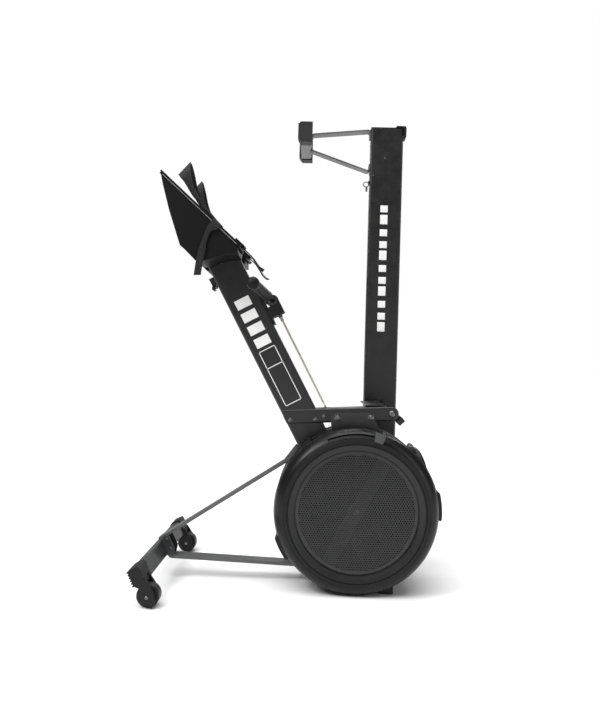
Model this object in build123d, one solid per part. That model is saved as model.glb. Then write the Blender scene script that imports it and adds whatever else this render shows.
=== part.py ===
from build123d import *
import os
from math import atan2, cos, degrees, hypot, radians, sin

# An air and magnetic rowing machine, taken apart for storage. The front section stands on
# its two transport wheels and on a foot under the fan drum, and the seat rail stands on its
# front end behind it. Z is up. X and Z are counted from the floor below the drum's axle
# while building, and every piece is shifted by ORIGIN_SHIFT when it is written.
ORIGIN_SHIFT = (189.13, -34.13, 0.0)

# Fan drum, its axis along Y
DRUM_Z = 247.0
DRUM_R = 246.0
# Depth of the drum's right (-1) and left (1) side from the mid plane
DEPTH = {-1: 160.0, 1: 106.0}
DISH_W = 27.0
DISH_D = 38.0
BAND_HALF = 30.0
SHELL_T = 4.0
GROOVE_R = 206.0
GRILLE_R = 180.0
GRILLE_HOLE_R = 5.4
GRILLE_PITCH = 17.0
AXLE_R = 8.5
RUN_GAP = 0.05
FAN_R = 192.0
FAN_BLADES = 20
FAN_Y = (-99.0, 46.0)
FAN_RIM_Y = (-99.0, -96.0)
SPROCKET_Y = (-121.0, -116.0)
DISC_Y = 58.0
DISC_T = 6.0
DISC_R = 203.0
LEVER_R = 229.0
LEVER_ANGLE = 75.0
SLOT_ANGLES = (71.0, 113.0)
# Each clasp of the drum: first angle, last angle and reach
CLASPS = ((199, 217, 11), (355, 375, 10), (124, 133, 10), (114, 120, 7))

# Main beam: a rectangular tube leaning back over the front foot
BEAM_TILT = 28.4
BEAM_D = 102.0
BEAM_W = 60.0
BEAM_LOW = (-133.5, 446.0)
BEAM_LENGTH = 640.0
SOCKET_OUT = (-49.0, -15.0)
LATCH_UP = 592.0
TUBE_R = 6.0
TUBES = ((630.0, 14.0), (630.0, 40.0))
WALL = 3.0

# Post: a channel from the beam out over the drum
POST_TILT = 3.3
POST_LEFT = (-230.0, 515.4)
POST_LENGTH = 340.1
POST_H = 47.0
POST_ROUND = 8.0
CHEEK_Y = BEAM_W / 2 + WALL
BRACKET_BOLTS = ((-60.0, 519.0), (44.0, 522.5))
CHEEK_BOLTS = ((-207.8, 508.1), (-128.1, 511.8))
BOSS_T = 1.5

# Chain: leaves the post over an idler and runs beside the beam to the handle
IDLER = (-103.7, 522.5)
IDLER_R = 18.0
CHAIN_TILT = 28.1
CHAIN_START = 12.0
CHAIN_END = 339.0
HANDLE_AT = 397.0
GRIP_ANGLE = 12.0
GRIP_DROP = 6.5
GRIP_R = 16.0

# Front foot, its tube turned about Y
FOOT_AT = (-606.0, 85.0)
FOOT_TILT = 25.0
FOOT_D = 28.0
FOOT_H = 50.0
FOOT_HALF = 236.0
CAP_END = 300.0
WHEEL_AT = (-577.0, 32.0)
WHEEL_R = 32.0
WHEEL_Y = (253.5, 288.5)
LEG_T = 10.0
LEG_W = 46.0
LEG_UPPER = ((-612.0, 117.0), (-222.0, 373.0), (-184.0, 424.0))
LEG_LOWER_END = (-158.0, 51.2)

# Footrests
PLATE_HEEL = (-607.6, 1240.8)
PLATE_TOE = (-364.8, 1024.0)
PLATE_T = 5.0
PLATE_IN = 38.0
PLATE_OUT = 165.0
STRAP_T = 2.4
STRAP_W = 48.0
# Slack strap loop: lean towards the plate, place of its ends and reach towards the heel
LOOP_LEAN = 9.0
LOOP_S = 226.0
LOOP_REACH = 196.0
# Lower outline of a footrest's side housing
COVER = ((-599, 1203), (-578, 1126), (-543, 1023), (-528, 1010), (-496, 979), (-475, 977),
         (-408, 1001), (-372, 1003))

# Seat rail, standing behind the drum
RAIL_X = (41.0, 153.0)
RAIL_Y = (220.0, 270.0)
RAIL_TOP = 1522.0
RAIL_MID = 245.0
TRACK_T = 1.5
TRACK_W = 34.0
REAR_FOOT_HALF = 116.0
REAR_FOOT_X = (-207.0, -169.0)
REAR_FOOT_Z = (1441.0, 1503.0)
SEAT_Z = (186.0, 411.0)
SEAT_HALF = 126.0
SEAT_TOP = 250.0
ROLLER_R = 17.0
ROLLER_AXLES = ("upper", "lower")


def write(name, shape):
    """Move a finished piece into the stored frame and write its STEP file."""
    export_step(Pos(*ORIGIN_SHIFT) * shape, f"parts/{name}.step")


def prism(points, y0, y1):
    """Outline in X and Z, extruded from y0 to y1."""
    return extrude(Plane.XZ.offset(-y0) * Polygon(*points, align=None), y1 - y0, (0, 1, 0))


def disc(at, radius, y0, y1):
    """Cylinder along Y, centred on the point (x, z)."""
    return extrude(Plane.XZ.offset(-y0) * Pos(*at) * Circle(radius), y1 - y0, (0, 1, 0))


def block(x0, x1, y0, y1, z0, z1):
    """Box between two corners."""
    return Pos((x0 + x1) / 2, (y0 + y1) / 2, (z0 + z1) / 2) * Box(x1 - x0, y1 - y0, z1 - z0)


def turned(points):
    """Ring turned about the drum's axis from an outline of radius and Y."""
    return Pos(0, 0, DRUM_Z) * revolve(make_face(Polyline(*points, close=True)), Axis.Y)


def arc_block(r0, r1, y0, y1, a0, a1):
    """Block bent round the drum's axis from angle a0 to a1, counted from +X towards +Z."""
    face = Pos((r0 + r1) / 2, (y0 + y1) / 2) * Rectangle(r1 - r0, y1 - y0)
    swept = revolve(face, Axis((0, 0, 0), (0, -1, 0)), a1 - a0)
    return Pos(0, 0, DRUM_Z) * Rot(0, -a0, 0) * swept


def on_drum(radius, angle):
    """Point (x, z) at a radius and angle about the drum's axis."""
    return (radius * cos(radians(angle)), DRUM_Z + radius * sin(radians(angle)))


def leaning(at, tilt, shape):
    """Place a shape built upright at the origin so that it leans by tilt towards -X."""
    return Pos(at[0], 0, at[1]) * Rot(0, -tilt, 0) * shape


def along(at, tilt, up, out):
    """Point (x, z) a distance up a leaning line and out to its right."""
    t = radians(tilt)
    return (at[0] - up * sin(t) + out * cos(t), at[1] + up * cos(t) + out * sin(t))


def tube(x, y, z0, z1, wall):
    """Upright rectangular tube about the Z axis, with rounded edges."""
    outer = fillet(Box(x, y, z1 - z0).edges().filter_by(Axis.Z), 2.0 * wall)
    inner = fillet(Box(x - 2 * wall, y - 2 * wall, z1 - z0).edges().filter_by(Axis.Z), wall)
    return Pos(0, 0, (z0 + z1) / 2) * (outer - inner)


def bolt(at, y_face, head, way):
    """Button-head bolt on a face at y_face; way is -1 when the head looks towards -Y."""
    y1 = y_face + way * head * 0.55
    lump = disc(at, head, min(y_face, y1), max(y_face, y1))
    rim = lump.edges().filter_by(GeomType.CIRCLE).sort_by(Axis.Y)[0 if way < 0 else -1]
    socket = disc(at, head * 0.42, y1 - 2, y1 + 2)
    return chamfer(rim, head * 0.25) - socket


def strip(points, width, thick, y_mid=0.0):
    """Flat bar of a given thickness that follows points (x, z), its corners bent round."""
    wire = FilletPolyline(*points, radius=8.0) if len(points) > 2 else Line(*points)
    face = trace(wire, thick)
    return extrude(Plane.XZ.offset(width / 2 - y_mid) * face, width, (0, 1, 0))


# ---- front section: beam, post and drum bracket ----

def main_beam():
    """Rectangular tube closed at its top end."""
    body = tube(BEAM_D, BEAM_W, 0, BEAM_LENGTH, WALL)
    cap = fillet(Box(BEAM_D, BEAM_W, 4).edges().filter_by(Axis.Z), 2 * WALL)
    beam = leaning(BEAM_LOW, BEAM_TILT, body + Pos(0, 0, BEAM_LENGTH + 2) * cap)
    return beam - footrest_tubes() - disc(IDLER, IDLER_R + 3, -5, 5) - disc((0, DRUM_Z), DRUM_R + 2, -60, 60)


def post_outline(grow=0.0):
    """Side view of the post: square at the beam, round at its free end."""
    t = -POST_TILT
    length, half = POST_LENGTH, POST_H / 2 + grow
    bar = Pos(length / 2, 0) * Rectangle(length, 2 * half)
    end = Pos(length, 0) * Circle(half)
    return Plane.XZ * Pos(*POST_LEFT) * Rot(0, 0, -t) * (bar + end)


def upper_edges(solid):
    """The two long edges of the post's top wall."""
    lines = solid.edges().filter_by(GeomType.LINE).filter_by(Axis.Y, reverse=True)
    return [e for e in lines if e.length > POST_LENGTH - 1 and e.center().Z > POST_LEFT[1] + 20]


def post_channel():
    """Top wall and two cheeks that straddle the beam's lower end."""
    solid = extrude(post_outline(), amount=CHEEK_Y, both=True)
    solid = fillet(upper_edges(solid), POST_ROUND)
    inner = extrude(post_outline(-WALL), amount=BEAM_W / 2, both=True)
    inner = fillet(upper_edges(inner), POST_ROUND - WALL)
    floor = block(-400, 400, -BEAM_W / 2, BEAM_W / 2, 300, POST_LEFT[1])
    beam_room = leaning(BEAM_LOW, BEAM_TILT, block(-BEAM_D, BEAM_D / 2, -BEAM_W / 2, BEAM_W / 2, -90, 300))
    chain_room = leaning(IDLER, CHAIN_TILT, block(-2, 26, -10, 10, 10, 50))
    swing_room = leaning(IDLER, CHAIN_TILT - 14, block(-2, 26, -10, 10, 10, 50))
    cheeks = solid - inner - floor - beam_room - chain_room - swing_room
    low = leaning(BEAM_LOW, BEAM_TILT, block(-300, -BEAM_D / 2, -60, 60, -200, 400))
    x, z = pivot_at()
    arm_room = block(x - 16, x + 60, -BEAM_W / 2, BEAM_W / 2, z - 60, z + 60)
    return cheeks - low - arm_room - pivot_hole() - idler_hole()


def pivot_at():
    t = radians(POST_TILT)
    return (POST_LEFT[0] + POST_LENGTH * cos(t), POST_LEFT[1] + POST_LENGTH * sin(t))


def pivot_hole():
    return disc(pivot_at(), 5.0, -60, 60)


def idler_hole():
    return disc(IDLER, 5.0, -60, 60)


def drum_bracket():
    """Two cheek plates bolted to the post, on a saddle that sits on the drum."""
    saddle = arc_block(DRUM_R, DRUM_R + 4, -CHEEK_Y - WALL, CHEEK_Y + WALL, 73, 108)
    side = [on_drum(DRUM_R + 2, 108), (-80, 521), (-74, 530), (-62, 534), (34, 536), (46, 532),
            (58, 512), on_drum(DRUM_R + 2, 73)]
    lower = [on_drum(DRUM_R + 2, a) for a in (78, 83, 88, 93, 98, 103)]
    plates = [prism(side + lower, -CHEEK_Y - WALL, -CHEEK_Y),
              prism(side + lower, CHEEK_Y, CHEEK_Y + WALL)]
    boss = disc(BRACKET_BOLTS[0], 13, -CHEEK_Y - WALL - BOSS_T, -CHEEK_Y - WALL + 0.5)
    return saddle + plates[0] + plates[1] + boss + mirror(boss, Plane.XZ)


def frame_bolts():
    """Bolt heads on both sides of the post, the drum bracket and the beam."""
    heads = []
    for way in (-1, 1):
        for at, rise in zip(BRACKET_BOLTS, (BOSS_T, 0)):
            heads.append(bolt(at, way * (CHEEK_Y + WALL + rise), 6.5, way))
        for at in CHEEK_BOLTS:
            heads.append(bolt(at, way * CHEEK_Y, 4.5, way))
        heads.append(bolt(along(BEAM_LOW, BEAM_TILT, BEAM_LENGTH - 12, -6), way * BEAM_W / 2, 5.0, way))
    return Compound(heads)


def idler_pin():
    return disc(IDLER, 5.0 - RUN_GAP, -CHEEK_Y + 1, CHEEK_Y - 1)


def sprocket(at, pitch_r, teeth, y0, y1, bore):
    """Toothed wheel with a hub; its teeth are short wedges round the pitch circle."""
    wheel = disc(at, pitch_r - 1.5, y0, y1)
    for i in range(teeth):
        tooth = Pos(pitch_r, 0) * Rectangle(4.2, 3.0)
        flat = Plane.XZ.offset(-(y0 + y1) / 2) * Pos(*at) * Rot(0, 0, i * 360 / teeth) * tooth
        wheel += extrude(flat, amount=1.1, both=True)
    return wheel - disc(at, bore, y0 - 1, y1 + 1)


def idler_sprocket():
    hub = disc(IDLER, 9.5, -14, 14)
    wheel = sprocket(IDLER, IDLER_R - 2.0, 12, -1.6, 1.6, 5.0)
    return hub + wheel - disc(IDLER, 5.0, -20, 20)


def monitor_bracket():
    """Fork on the post's end bolt that carries a clamp block for a display."""
    at = pivot_at()
    eye = disc(at, 15, -14, 14)
    arm = prism([(at[0], at[1] - 7), (at[0] + 6, at[1] + 9), (at[0] + 38, at[1] - 14),
                 (at[0] + 24, at[1] - 30)], -10, 10)
    block_at = (at[0] + 30, at[1] - 24)
    head = Pos(block_at[0], 0, block_at[1]) * Rot(0, -45, 0) * Box(22, 46, 16)
    bores = [Pos(block_at[0], y, block_at[1]) * Rot(0, -45, 0) * Cylinder(2.6, 40) for y in (-16, 16)]
    return eye + arm + head - bores[0] - bores[1] - disc(at, 6.0, -40, 40)


def pivot_bolt():
    at = pivot_at()
    shank = disc(at, 5.0 - RUN_GAP, -CHEEK_Y, CHEEK_Y) + disc(at, 6.0 - RUN_GAP, -15, 15)
    return shank + bolt(at, -CHEEK_Y, 10, -1) + bolt(at, CHEEK_Y, 10, 1)


def storage_bracket():
    """Plate on the post that reaches back to the standing seat rail and holds its stud."""
    top = prism([(28, 556.5), (84, 559.7), (84, 563.7), (28, 560.5)], -CHEEK_Y + 6, 212)
    lip = block(74, 116, 208, 212, 532, 564)
    stem = block(74, 84, 60, 212, 552, 559.8)
    notch = block(98 - 7, 98 + 7, 200, 216, 546, 570) + disc((98, 546), 7, 200, 216)
    return top + lip + stem - notch


def handle_holder():
    """Hook block on the beam's upper face; the chain runs through its slot."""
    face = BEAM_D / 2
    foot = block(face, face + 8, -26, 26, 380, 498)
    nose = block(face + 8, face + 50, -26, 26, 400, 436)
    lip = block(face + 44, face + 50, -26, 26, 436, 446)
    slot = block(face + 14, face + 60, -14, 14, 370, 470)
    shape = foot + nose + lip - slot
    return leaning(BEAM_LOW, BEAM_TILT, shape)


def rail_socket():
    """Cradle at the beam's top end that the seat rail hooks into for use."""
    lo, hi = BEAM_LENGTH + 4, BEAM_LENGTH + 50
    hanger = block(*SOCKET_OUT, -28, 28, lo, hi)
    mouth = block(SOCKET_OUT[0] + 6, SOCKET_OUT[1] - 6, -29, 29, lo + 6, hi + 10)
    return leaning(BEAM_LOW, BEAM_TILT, hanger - mouth)


def rail_latch():
    """Spring latch on the underside of the beam that frees the seat rail."""
    pivot = along(BEAM_LOW, BEAM_TILT, LATCH_UP, -BEAM_D / 2 - 9)
    lever = block(-7, 5, -12, 12, -22, 6) + block(-12, -3, -17, 17, -28, -20)
    shape = fillet(lever.edges().filter_by(Axis.Y), 1.5)
    return leaning(pivot, BEAM_TILT, shape) - disc(pivot, 3.0, -40, 40)


def latch_yoke():
    pivot = along(BEAM_LOW, BEAM_TILT, LATCH_UP, -BEAM_D / 2 - 9)
    ears = []
    for side in (-1, 1):
        y0, y1 = sorted((side * 12.5, side * 16.5))
        ears.append(block(-7, 9, y0, y1, -10, 10))
    base = leaning(pivot, BEAM_TILT, ears[0] + ears[1])
    return base + disc(pivot, 3.0 - RUN_GAP, -16, 16)


# ---- front foot and legs ----

def foot_point(u, v):
    """Point (x, z) on the foot's cross-section: u across it, v up it."""
    return along(FOOT_AT, FOOT_TILT, v, u)


def front_crossbar():
    body = fillet(Box(FOOT_D, 2 * FOOT_HALF, FOOT_H).edges().filter_by(Axis.Y), 5.0)
    bore = fillet(Box(FOOT_D - 2 * WALL, 2 * FOOT_HALF + 2, FOOT_H - 2 * WALL).edges().filter_by(Axis.Y), 2.0)
    return leaning(FOOT_AT, FOOT_TILT, body - bore)


def front_cap(side):
    """End cap with a ribbed sole and a fork that holds the transport wheel."""
    y0, y1 = FOOT_HALF - 4, CAP_END
    outline = [foot_point(-17, -18), foot_point(-17, 22), foot_point(-11, 28), foot_point(15, 28),
               foot_point(18, 22), foot_point(18, -20), foot_point(10, -34), foot_point(-5, -30)]
    cap = prism(outline, y0, y1)
    for i in range(6):
        rib = leaning(foot_point(-17.5, -18 + 8 * i), FOOT_TILT, Box(5, y1 - y0, 4))
        cap += Pos(0, (y0 + y1) / 2, 0) * rib
    x, z = WHEEL_AT
    arm = [foot_point(-6, -30), foot_point(20, -8), (x + 20, z + 14), (x + 24, z - 10), (x + 16, z - 27),
           (x + 8, z - 24), (x - 14, z - 14)]
    for a, b in ((WHEEL_Y[0] - 9, WHEEL_Y[0] - 1.5), (WHEEL_Y[1] + 1.5, CAP_END)):
        cap += prism(arm, a, b) + disc(WHEEL_AT, 19, a, b)
    cap -= disc(WHEEL_AT, WHEEL_R + 3, WHEEL_Y[0] - 1.5, WHEEL_Y[1] + 1.5)
    room = Pos(0, FOOT_HALF - 30, 0) * leaning(FOOT_AT, FOOT_TILT, Box(FOOT_D, 60, FOOT_H))
    cap = cap - room - disc(WHEEL_AT, 5.0, 0, CAP_END + 5)
    return cap if side > 0 else mirror(cap, Plane.XZ)


def wheel_bolt(side):
    """Axle bolt of a transport wheel."""
    pin = disc(WHEEL_AT, 5.0 - RUN_GAP, WHEEL_Y[0] - 10, CAP_END) + bolt(WHEEL_AT, CAP_END, 5, 1)
    return pin if side > 0 else mirror(pin, Plane.XZ)


def transport_wheel(side):
    tread = disc(WHEEL_AT, WHEEL_R, *WHEEL_Y)
    tread = fillet(tread.edges().filter_by(GeomType.CIRCLE), 4.0)
    for y in WHEEL_Y:
        tread -= disc(WHEEL_AT, 21, y - 4, y + 4) - disc(WHEEL_AT, 9, y - 5, y + 5)
    wheel = tread - disc(WHEEL_AT, 5.0, 0, CAP_END)
    return wheel if side > 0 else mirror(wheel, Plane.XZ)


def leg_bracket():
    """Two gusset plates between the legs' ends, welded to the front foot."""
    outline = [foot_point(u, v) for u, v in ((14, 24), (14, -24), (30, -32), (43, -14), (42, 30), (30, 36))]
    y0 = LEG_W / 2 + 0.3
    return prism(outline, -y0 - 4, -y0) + prism(outline, y0, y0 + 4)


def leg_screws():
    heads = []
    for way in (-1, 1):
        for u, v in ((33, 23), (32, -9)):
            heads.append(bolt(foot_point(u, v), way * (LEG_W / 2 + 4.3), 4.0, way))
    return Compound(heads)


def front_leg_upper():
    """Flat bar from the front foot up to the beam's lower corner."""
    return strip(LEG_UPPER, LEG_W, LEG_T)


def front_leg_lower():
    """Flat bar from a flange on the front foot to the cradle under the drum."""
    out = FOOT_D / 2 + LEG_T / 2 + 0.3
    return strip([foot_point(out, 18), foot_point(out, -32), LEG_LOWER_END], LEG_W, LEG_T)


def drum_cradle():
    """Rolled plate on the drum's band that the lower leg is welded to."""
    return arc_block(DRUM_R, DRUM_R + 6, -26, 26, 221, 252)


def storage_foot():
    """Rubber foot below the drum."""
    pad = block(85, 117, -112, 60, 0, 62)
    pad = fillet(pad.edges().filter_by(Axis.Y).sort_by(Axis.Z)[0:2], 6)
    return pad - Pos(0, 0, DRUM_Z) * Rot(90, 0, 0) * Cylinder(DRUM_R, 240)


# ---- fan drum ----

def rim_band():
    return turned([(DRUM_R, -BAND_HALF), (DRUM_R, BAND_HALF), (DRUM_R - SHELL_T, BAND_HALF),
                   (DRUM_R - SHELL_T, -BAND_HALF)])


def shell_profile(h):
    """Half outline of a drum side of depth h, as radius and distance from the mid plane."""
    flat, wall = (DRUM_R - DISH_W, h), (DRUM_R, h - DISH_D)
    inner_flat, inner_wall = (flat[0] - 1, h - SHELL_T - 1), (DRUM_R - SHELL_T, h - DISH_D - 1)
    lip = (GRILLE_R + 2, h - 9)
    face = Polyline(flat, (GROOVE_R + 1, h), (GROOVE_R, h - 2.5), (GROOVE_R - 3, h - 2.5),
                    (GROOVE_R - 4, h - 0.5), (GROOVE_R - 8, h - 1), lip)
    back = Polyline(lip, (GRILLE_R + 2, h - 18), (GRILLE_R - 4, h - 18), (GRILLE_R - 4, h - 21),
                    (GRILLE_R + 8, h - 21), (GROOVE_R - 4, h - 8), inner_flat)
    side = Polyline(inner_wall, (inner_wall[0], BAND_HALF), (DRUM_R, BAND_HALF), wall)
    dish = TangentArc(wall, flat, tangent=(0, 1))
    under = TangentArc(inner_wall, inner_flat, tangent=(0, 1))
    return make_face((dish + face + back + under + side).edges())


def drum_shell(side):
    shell = Pos(0, 0, DRUM_Z) * revolve(shell_profile(DEPTH[side]), Axis.Y)
    if side > 0:
        return shell
    shell = mirror(shell, Plane.XZ)
    return shell - arc_block(LEVER_R - 5.5, LEVER_R + 5.5, -DEPTH[-1] - 6, -DEPTH[-1] + 22, *SLOT_ANGLES)


def grille(side):
    """Perforated disc behind the opening of a drum side."""
    holes = []
    row = GRILLE_PITCH * sin(radians(60))
    count = int(GRILLE_R / row) + 1
    for j in range(-count, count + 1):
        for i in range(-count - 2, count + 3):
            x, y = GRILLE_PITCH * (i + (j % 2) / 2), row * j
            if hypot(x, y) < GRILLE_R - 12:
                holes.append(Wire.make_circle(GRILLE_HOLE_R, Plane((x, y, 0))))
    face = Face(Wire.make_circle(GRILLE_R + 1.5), holes)
    y = side * (DEPTH[side] - 16)
    plane = Plane(origin=(0, y, DRUM_Z), x_dir=(1, 0, 0), z_dir=(0, -1, 0))
    return extrude(plane * face, amount=1.2, both=True)


def shell_clasps():
    """Moulded lugs that clamp the two drum sides to the band."""
    lugs = []
    for a0, a1, reach in CLASPS:
        for y0, y1 in ((DISH_D - DEPTH[-1], -BAND_HALF - 5), (BAND_HALF + 5, DEPTH[1] - DISH_D)):
            lug = arc_block(DRUM_R, DRUM_R + reach, y0, y1, a0, a1)
            lugs.append(chamfer(lug.edges().filter_by(Axis.Y), reach * 0.45))
    return group(*lugs)


def axle():
    return disc((0, DRUM_Z), AXLE_R, 22 - DEPTH[-1], DEPTH[1] - 22)


def axle_bracket(side):
    """Flat bar across the inside of a drum side that holds one end of the axle."""
    y0, y1 = DEPTH[side] - 29, DEPTH[side] - 21.5
    bar = Pos(0, (y0 + y1) / 2, DRUM_Z) * Rot(0, 28, 0) * Box(40, y1 - y0, 2 * (GRILLE_R + 3))
    boss = disc((0, DRUM_Z), 22, y0 - 4, y1)
    shape = bar + boss - disc((0, DRUM_Z), AXLE_R, 0, 200)
    return shape if side > 0 else mirror(shape, Plane.XZ)


def fan():
    """Hub, web and straight blades."""
    centre = (0, DRUM_Z)
    wheel = disc(centre, 26, FAN_Y[0] - 17, 50) + disc(centre, FAN_R, -2, 1)
    rim = disc(centre, FAN_R, *FAN_RIM_Y) - disc(centre, FAN_R - 30, FAN_Y[0] - 5, FAN_Y[0] + 8)
    blade_w = FAN_Y[1] - FAN_Y[0]
    for i in range(FAN_BLADES):
        blade = Pos(FAN_R - 68, (FAN_Y[0] + FAN_Y[1]) / 2, 0) * Box(136, blade_w, 2.2)
        wheel += Pos(0, 0, DRUM_Z) * Rot(0, i * 360 / FAN_BLADES, 0) * blade
    return wheel + rim - disc(centre, AXLE_R + RUN_GAP, -125, 80)


def brake_disc():
    """Aluminium disc beside the fan that the magnets act on."""
    centre = (0, DRUM_Z)
    boss = disc(centre, 40, 50, DISC_Y + DISC_T)
    ring = disc(centre, DISC_R, DISC_Y, DISC_Y + DISC_T)
    return boss + ring - disc(centre, AXLE_R + RUN_GAP, 40, 80)


def drive_sprocket():
    centre = (0, DRUM_Z)
    return sprocket(centre, 25.0, 16, *SPROCKET_Y, AXLE_R + RUN_GAP)


def resistance_lever():
    """Block outside the drum, a neck through the arc slot and a carrier inside."""
    a, y = LEVER_ANGLE, -DEPTH[-1]
    knob = arc_block(LEVER_R - 10, LEVER_R + 16, y - 12, y - 2, a - 3.5, a + 3.5)
    knob = fillet(knob.edges().filter_by(Axis.Y), 3.0)
    neck = arc_block(LEVER_R - 4, LEVER_R + 4, y - 3, y + 26, a - 2.4, a + 2.4)
    carrier = arc_block(LEVER_R - 12, LEVER_R + 5, y + 24, y + 29, a - 7, a + 7)
    finger = arc_block(LEVER_R + 15, LEVER_R + 25, y - 10, y - 5, a - 2.6, a - 0.8)
    return knob + neck + carrier + finger


def magnet_bracket():
    """Fork of two magnet plates around the brake disc's edge, on a pivot in the drum."""
    plates = arc_block(182, 222, 49.5, 53.5, 30, 62) + arc_block(182, 222, 68.5, 72.5, 30, 62)
    bridge = arc_block(217, 222, 49.5, 72.5, 30, 62)
    ears = arc_block(214, 230, 49.5, 53.5, 21, 31) + arc_block(214, 230, 68.5, 72.5, 21, 31)
    return plates + bridge + ears - disc(on_drum(222, 24.5), 3.0, 40, 80)


def magnet_pin():
    return disc(on_drum(222, 24.5), 3.0 - RUN_GAP, 45, 76)


# ---- chain and handle ----

def chain_line(up, out=0.0):
    return along(IDLER, CHAIN_TILT, up, IDLER_R + out)


def chain_strip(y0, y1, up0, up1, half):
    """Straight run beside the beam, standing for one layer of links."""
    return leaning(IDLER, CHAIN_TILT, block(IDLER_R - half, IDLER_R + half, y0, y1, up0, up1))


def chain_core():
    """Rollers and inner plates, which stay with the part of the chain at the idler."""
    return chain_strip(-2.9, 2.9, CHAIN_START, CHAIN_END - 8, 4.0)


def chain_plates():
    """Outer plates, which go with the handle."""
    near = chain_strip(-4.9, -3.4, CHAIN_START + 28, CHAIN_END, 4.0)
    far = chain_strip(3.4, 4.9, CHAIN_START + 28, CHAIN_END, 4.0)
    return near + far + chain_strip(-4.9, 4.9, CHAIN_END - 6, CHAIN_END, 4.0)


def bent_side(side, inner, outer, radius):
    """Round bar on one side of the handle, bent back towards the rower."""
    bar = Pos(0, (inner + outer) / 2, 0) * Rot(90, 0, 0) * Cylinder(radius, outer - inner)
    bar = Rot(GRIP_ANGLE, 0, 0) * Rot(0, 0, GRIP_DROP) * bar
    return bar if side > 0 else mirror(bar, Plane.XZ)


def at_handle(shape):
    return leaning(IDLER, CHAIN_TILT, Pos(IDLER_R, 0, HANDLE_AT) * shape)


def handle_bar():
    middle = Sphere(13) + bent_side(-1, 0, 222, 9) + bent_side(1, 0, 222, 9)
    return at_handle(middle)


def handle_grip(side):
    sleeve = bent_side(side, 62, 228, GRIP_R) - bent_side(side, 0, 222, 9)
    return at_handle(sleeve)


def handle_yoke():
    """Swivel that joins the chain to the handle bar."""
    up = CHAIN_END - HANDLE_AT
    stem = Pos(0, 0, up + 21) * Box(14, 12, 42)
    eye = Rot(90, 0, 0) * Cylinder(19, 24)
    shape = stem + eye - Sphere(13) - bent_side(-1, 0, 60, 9) - bent_side(1, 0, 60, 9)
    return at_handle(shape)


# ---- footrests ----

PLATE_ANGLE = degrees(atan2(PLATE_HEEL[1] - PLATE_TOE[1], PLATE_TOE[0] - PLATE_HEEL[0]))
PLATE_LENGTH = hypot(PLATE_TOE[0] - PLATE_HEEL[0], PLATE_HEEL[1] - PLATE_TOE[1])


def on_plate(shape):
    """Place a shape built with X from heel to toe and Z out of the footrest's face."""
    return Pos(PLATE_HEEL[0], 0, PLATE_HEEL[1]) * Rot(0, PLATE_ANGLE, 0) * shape


def plate_point(s, n):
    a = radians(PLATE_ANGLE)
    return (PLATE_HEEL[0] + s * cos(a) + n * sin(a), PLATE_HEEL[1] - s * sin(a) + n * cos(a))


def sided(side, shape):
    """A piece built on the +Y side, mirrored for the other side."""
    return shape if side > 0 else mirror(shape, Plane.XZ)


def foot_plate(side):
    """Ribbed tread with a raised rim and a slot for the strap."""
    plate = block(0, PLATE_LENGTH, PLATE_IN, PLATE_OUT, -PLATE_T, 0)
    plate = fillet(plate.edges().filter_by(Axis.Z), 10)
    rim = block(0, PLATE_LENGTH, PLATE_OUT - 4, PLATE_OUT, 0, 5)
    ribs = [block(150 + 14 * i, 155 + 14 * i, PLATE_IN + 14, PLATE_OUT - 14, 0, 1.6) for i in range(9)]
    for rib in ribs:
        plate += rib
    guide = block(16, 118, 96, 108, -PLATE_T - 1, 1)
    slots = block(222, 264, PLATE_IN + 2.5, PLATE_IN + 7.5, -9, 9)
    return sided(side, on_plate(plate + rim - guide - slots))


def heel_cup(side):
    """Low sliding heel rest with a stem in the plate's guide slot."""
    base = block(10, 78, 56, 148, 0.4, 3.4)
    wall = block(10, 15, 56, 148, 0.4, 6.4)
    wall += block(10, 40, 56, 60, 0.4, 5.4) + block(10, 40, 144, 148, 0.4, 5.4)
    stem = block(30, 60, 96.4, 107.6, -PLATE_T - 0.4, 1)
    stem += block(28, 62, 92, 112, -PLATE_T - 4.4, -PLATE_T - 0.4)
    shape = fillet((base + wall).edges().filter_by(Axis.Y).group_by(Axis.Z)[0], 0.8) + stem
    return sided(side, on_plate(shape))


def footrest_cover(side):
    """Hollow side housing below a footrest, closed on the outside."""
    top = [plate_point(PLATE_LENGTH - 6, -PLATE_T - 0.4), plate_point(8, -PLATE_T - 0.4)]
    outline = list(COVER) + top
    body = prism(outline, PLATE_IN, PLATE_OUT - 2)
    room = offset(make_face(Polyline(*outline, close=True)), amount=-5)
    room = extrude(Plane.XZ.offset(5 - PLATE_IN) * room, PLATE_OUT - PLATE_IN - 2, (0, 1, 0))
    guide = on_plate(block(8, 126, 88, 116, -40, 0))
    return sided(side, body - room - guide - footrest_tubes())


def footrest_tubes():
    """Two cross tubes through the beam that carry both footrests."""
    bars = []
    for up, out in TUBES:
        bars.append(disc(along(BEAM_LOW, BEAM_TILT, up, out), TUBE_R, -PLATE_OUT + 8, PLATE_OUT - 8))
    return Compound(bars)


def strap_loop():
    """Slack webbing loop that stands on edge and leans back over the heel."""
    inner, outer = PLATE_IN + 12, PLATE_OUT - 12
    mid, half = (inner + outer) / 2, (outer - inner) / 2
    path = (Line((0, inner), (-LOOP_REACH + half, inner))
            + ThreePointArc((-LOOP_REACH + half, inner), (-LOOP_REACH, mid), (-LOOP_REACH + half, outer))
            + Line((-LOOP_REACH + half, outer), (0, outer)))
    band = extrude(trace(path, STRAP_T), amount=STRAP_W)
    band = Pos(LOOP_S, 0, 7) * Rot(0, LOOP_LEAN, 0) * band
    return band


def toe_strap(side):
    return sided(side, on_plate(strap_loop()))


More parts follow.
